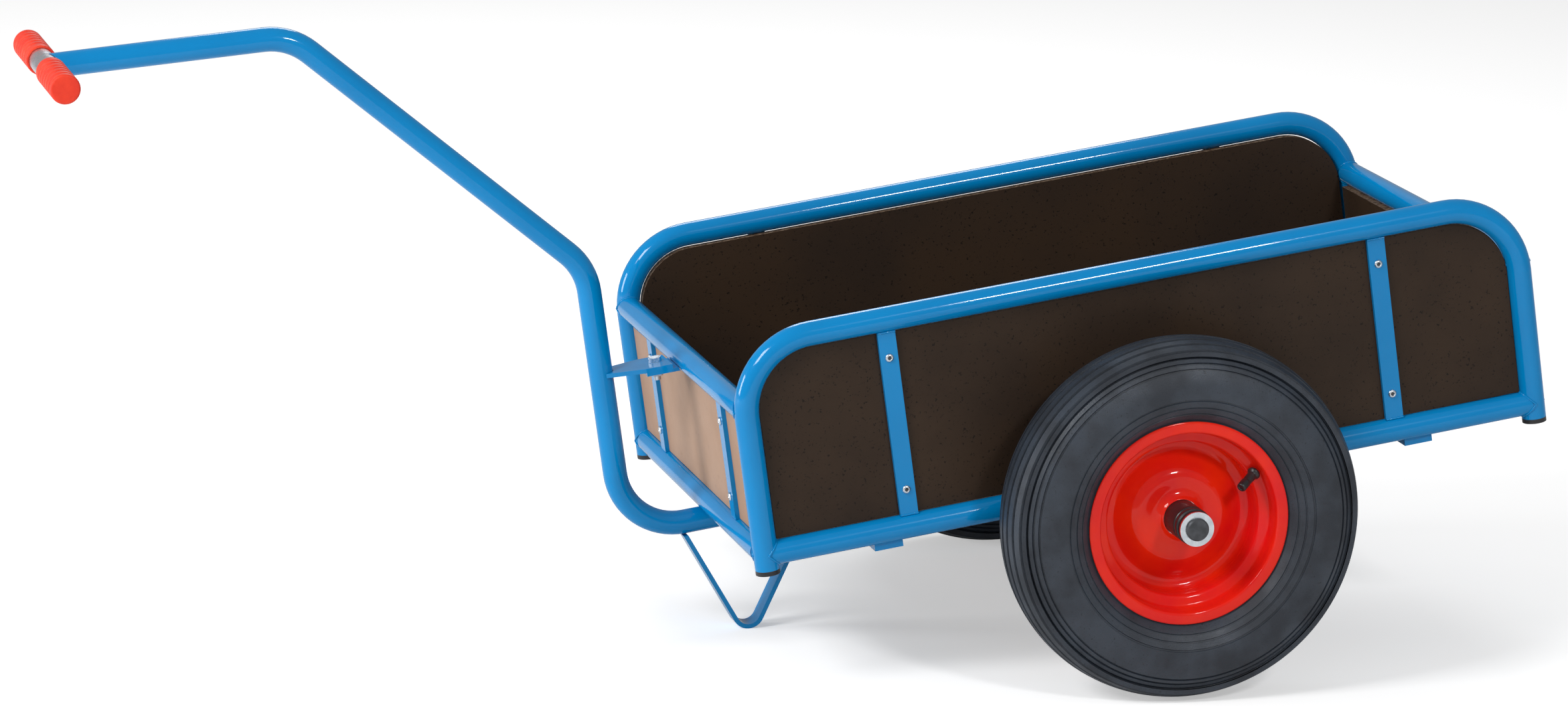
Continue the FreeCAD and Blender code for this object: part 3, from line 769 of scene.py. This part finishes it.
@dataclass
class Hardware:
    """Panel screws and weld beads of the bed."""

    bed: Bed
    screw_head: float = 4.6
    # The dark discs in the screw recesses are painted shade.
    recess_shade_radius: float = 1.9
    recess_shade_depth: float = 1.1
    bead: float = 2.6
    stay_bead: float = 2.4
    stay_bead_length: float = 20.0
    bead_lift: float = 0.4
    screw_low: float = 42.0
    screw_high: float = 190.0
    end_screw_low: float = 38.0
    end_screw_high: float = 124.0

    def screw_places(self) -> list[Matrix]:
        """Find where the panel screws sit.

        Returns:
            A frame for every screw, its Z out of the stay's face.
        """
        bed = self.bed
        places = []
        for side in Side:
            for end in End:
                for rise in (self.screw_low, self.screw_high):
                    spot = Vector(((bed.half_length - bed.side_stay_inset) * end.value,
                                   (bed.half_width + bed.stay_thickness) * side.value, rise))
                    turn = Matrix.Rotation(-math.pi / 2 * side.value, 4, "X")
                    places.append(Matrix.Translation(spot) @ turn)
                for rise in (self.end_screw_low, self.end_screw_high):
                    spot = Vector(((bed.half_length + bed.stay_thickness) * end.value,
                                   (bed.half_width - bed.end_stay_inset) * side.value, rise))
                    turn = Matrix.Rotation(math.pi / 2 * end.value, 4, "Y")
                    places.append(Matrix.Translation(spot) @ turn)
        return places

    def build_screws(self, dressed: dict[str, bpy.types.Material]) -> None:
        """Model all pan-head screws, and dark discs of painted shade at the bottoms of their recesses.

        Args:
            dressed: The finished materials by name.
        """
        heads, recess_shade_discs = bmesh.new(), bmesh.new()
        for place in self.screw_places():
            ring = [(0.0, self.screw_head), (1.2, self.screw_head), (2.2, self.screw_head - 1.1),
                    (2.4, 2.3), (1.0, 1.7), (0.0, 1.7)]
            part = spun(rounded(ring, 0.4, True, 2), True, 24)
            upright = Matrix.Rotation(math.pi / 2, 4, "X")
            bmesh.ops.transform(part, matrix=place @ upright, verts=part.verts[:])
            join_into(heads, part)
            # Each recess bottom gets a dark steel disc: painted shade where the recess lies in shadow.
            depth = self.recess_shade_depth
            middle = place @ Matrix.Translation((0, 0, depth / 2))
            bmesh.ops.create_cone(recess_shade_discs, cap_ends=True, segments=12, radius1=self.recess_shade_radius,
                                  radius2=self.recess_shade_radius, depth=depth, matrix=middle)
        finish_piece("panel_screws", heads, self.bed.place, "cart_frame", dressed["zinc_plated_steel"])
        finish_piece("screw_recess_shade", recess_shade_discs, self.bed.place, "cart_frame", dressed["axle_steel_and_recess_shade"])

    def saddle(self, centre: Vector, across: Vector, leg: Vector) -> Callable[[float], Vector]:
        """Return the path of a weld where a tube meets a leg of the same size.

        Args:
            centre: Where the two axes cross.
            across: Direction from the leg along the joining tube.
            leg: Direction of the leg.

        Returns:
            A function from a part between 0 and 1 to a point of the weld.
        """
        radius = self.bed.tube
        out = across.cross(leg).normalized()

        def path(part: float) -> Vector:
            """Return the weld's point at a part of the way round."""
            turn = part * math.tau
            side_step = radius * math.sin(turn)
            reach = math.sqrt(max(radius ** 2 - side_step ** 2, 0.0))
            lengthwise = leg * radius * math.cos(turn)
            return centre + lengthwise + out * side_step + across * (reach + self.bead_lift)
        return path

    def straight(self, middle: Vector) -> Callable[[float], Vector]:
        """Return the path of a weld across the end of a side stay.

        Args:
            middle: The weld's middle.

        Returns:
            A function from a part between 0 and 1 to a point of the weld.
        """
        return lambda part: middle + Vector((self.stay_bead_length * (part - 0.5), 0, 0))

    def build_welds(self, dressed: dict[str, bpy.types.Material]) -> None:
        """Model the weld beads of rails, cross tubes and side stays.

        Args:
            dressed: The finished materials by name.
        """
        bed = self.bed
        mesh = bmesh.new()
        up = Vector((0, 0, 1))
        for side in Side:
            for end in End:
                foot = Vector((bed.half_length * end.value, bed.half_width * side.value, 0))
                bead_ring(mesh, self.saddle(foot, Vector((-end.value, 0, 0)), up), self.bead)
                bead_ring(mesh, self.saddle(foot, Vector((0, -side.value, 0)), up), self.bead)
                head = foot + up * bed.bar_rise
                bead_ring(mesh, self.saddle(head, Vector((0, -side.value, 0)), up), self.bead)
                for rise in (bed.tube + 0.2, bed.side_rise - bed.tube - 0.2):
                    middle = Vector(((bed.half_length - bed.side_stay_inset) * end.value,
                                     (bed.half_width + bed.stay_thickness) * side.value, rise))
                    bead_ring(mesh, self.straight(middle), self.stay_bead, 14, False)
        finish_piece("weld_beads", mesh, self.bed.place, "cart_frame", dressed["blue_enamel"],
                     smooth=70.0)


# ---------------------------------------------------------------- stage

@dataclass
class Stage:
    """Floor, lights and camera."""

    eye: tuple[float, float, float] = (1.675, 6.3976, 1.7277)
    heading: float = math.radians(194.848)
    dip: float = math.radians(12.128)
    roll: float = math.radians(1.55)
    focal: float = 3.854234
    sensor: float = 36.0
    aim: tuple[float, float, float] = (-0.3, 0.0, 0.3)
    camera_lift: float = 0.42
    room_light: float = 0.36

    def build(self) -> None:
        """Set up everything that isn't the cart."""
        self.floor()
        self.world()
        self.lamp("key_light", (3.6, 2.2, 3.4), 130.0, 1.6)
        self.lamp("side_light", (-1.2, 4.2, 3.0), 60.0, 0.6)
        self.lamp("front_light", (3.8, -0.6, 0.9), 60.0, 1.2)
        self.lamp("back_light", (-0.5, -3.6, 3.2), 40.0, 1.6)
        self.camera()

    def floor(self) -> None:
        """Lay a plain pale floor."""
        mesh = bmesh.new()
        bmesh.ops.create_grid(mesh, x_segments=1, y_segments=1, size=40.0)
        data = bpy.data.meshes.new("floor")
        mesh.to_mesh(data)
        mesh.free()
        floor = bpy.data.objects.new("floor", data)
        bpy.context.scene.collection.objects.link(floor)
        material = bpy.data.materials.new("pale_floor")
        material.use_nodes = True
        shader = material.node_tree.nodes["Principled BSDF"]
        shader.inputs["Base Color"].default_value = (0.9, 0.9, 0.9, 1.0)
        shader.inputs["Roughness"].default_value = 0.9
        shader.inputs["Specular IOR Level"].default_value = 0.0
        shader.inputs["Emission Color"].default_value = (1.0, 1.0, 1.0, 1.0)
        path = material.node_tree.nodes.new("ShaderNodeLightPath")
        lift = remap(material.node_tree, path.outputs["Is Camera Ray"], 0.0, 1.0, 0.0, self.camera_lift)
        material.node_tree.links.new(lift, shader.inputs["Emission Strength"])
        data.materials.append(material)

    def world(self) -> None:
        """Light softly from all round, and show white to the camera."""
        world = bpy.data.worlds.new("studio")
        world.use_nodes = True
        bpy.context.scene.world = world
        tree = world.node_tree
        background = tree.nodes["Background"]
        seen = tree.nodes.new("ShaderNodeLightPath")
        background.inputs["Color"].default_value = (1.0, 1.0, 1.0, 1.0)
        strength = remap(tree, seen.outputs["Is Camera Ray"], 0.0, 1.0, self.room_light, 1.0)
        tree.links.new(strength, background.inputs["Strength"])

    def lamp(self, name: str, spot: tuple[float, float, float], watts: float, size: float) -> None:
        """Hang a soft square lamp that points at the bed.

        Args:
            name: The lamp's name.
            spot: Where it hangs.
            watts: Its power.
            size: Its edge in metres.
        """
        data = bpy.data.lights.new(name, "AREA")
        data.energy = watts
        data.size = size
        lamp = bpy.data.objects.new(name, data)
        lamp.location = spot
        aim = Vector(self.aim) - Vector(spot)
        lamp.rotation_euler = aim.to_track_quat("-Z", "Y").to_euler()
        bpy.context.scene.collection.objects.link(lamp)

    def camera(self) -> None:
        """Place the camera by its heading, dip and roll."""
        data = bpy.data.cameras.new("camera")
        data.sensor_width = self.sensor
        data.lens = self.focal * data.sensor_width
        camera = bpy.data.objects.new("camera", data)
        level = math.cos(self.dip)
        ahead = Vector((math.sin(self.heading) * level, math.cos(self.heading) * level, -math.sin(self.dip)))
        right = ahead.cross(Vector((0, 0, 1))).normalized()
        above = right.cross(ahead)
        turned_right = right * math.cos(self.roll) + above * math.sin(self.roll)
        turned_up = above * math.cos(self.roll) - right * math.sin(self.roll)
        rows = Matrix((turned_right, turned_up, -ahead)).transposed().to_4x4()
        camera.matrix_world = Matrix.Translation(self.eye) @ rows
        bpy.context.scene.collection.objects.link(camera)
        bpy.context.scene.camera = camera


def dress_nodes(dressed: dict[str, bpy.types.Material], groups: dict[str, bpy.types.NodeTree],
                bed: Bed) -> None:
    """Give every CAD node its finish.

    Args:
        dressed: The finished materials by name.
        groups: The shared node groups by name.
        bed: The bed, for its pitch.
    """
    boards = {"side": Plywood("side_board_plywood", "Crosswise"),
              # The end boards take the tan painted light on their outward face.
              "front": Plywood("front_board_plywood", "Lengthwise", 1.0),
              "rear": Plywood("rear_board_plywood", "Lengthwise", -1.0),
              "floor": Plywood("floor_board_plywood", "Upright")}
    plywood = {word: board.build(groups, bed.pitch) for word, board in boards.items()}
    slots = {entry["node"]: entry["material_slot"] for entry in frame["record"]["subparts"]}
    for name, node in frame["nodes"].items():
        material = dressed.get(slots[name])
        if slots[name] == "film_faced_plywood":
            word = next(key for key in ("side", "front", "rear", "floor") if key in name)
            material = plywood[word]
        if name == "axle":
            material = dressed["axle_steel_and_recess_shade"]
        node.data.materials.clear()
        node.data.materials.append(material)


def main() -> None:
    """Build the cart's looks in order."""
    logging.basicConfig(level=logging.INFO, format="%(message)s")
    bpy.context.scene.view_settings.view_transform = "Standard"
    groups = {"mottle": mottle_group(), "specks": specks_group(), "facing": facing_group()}
    finishes = (BLUE, RED, RUBBER, BLACK, GRIP, ZINC, DARK_STEEL)
    dressed = {finish.name: finish.build(groups) for finish in finishes}
    bed = Bed()
    dress_nodes(dressed, groups, bed)
    for side in Side:
        Wheel(side).build(dressed)
        Grip(side).build(dressed)
    hardware = Hardware(bed)
    hardware.build_screws(dressed)
    hardware.build_welds(dressed)
    Stage().build()


if __name__ == "__main__":
    main()
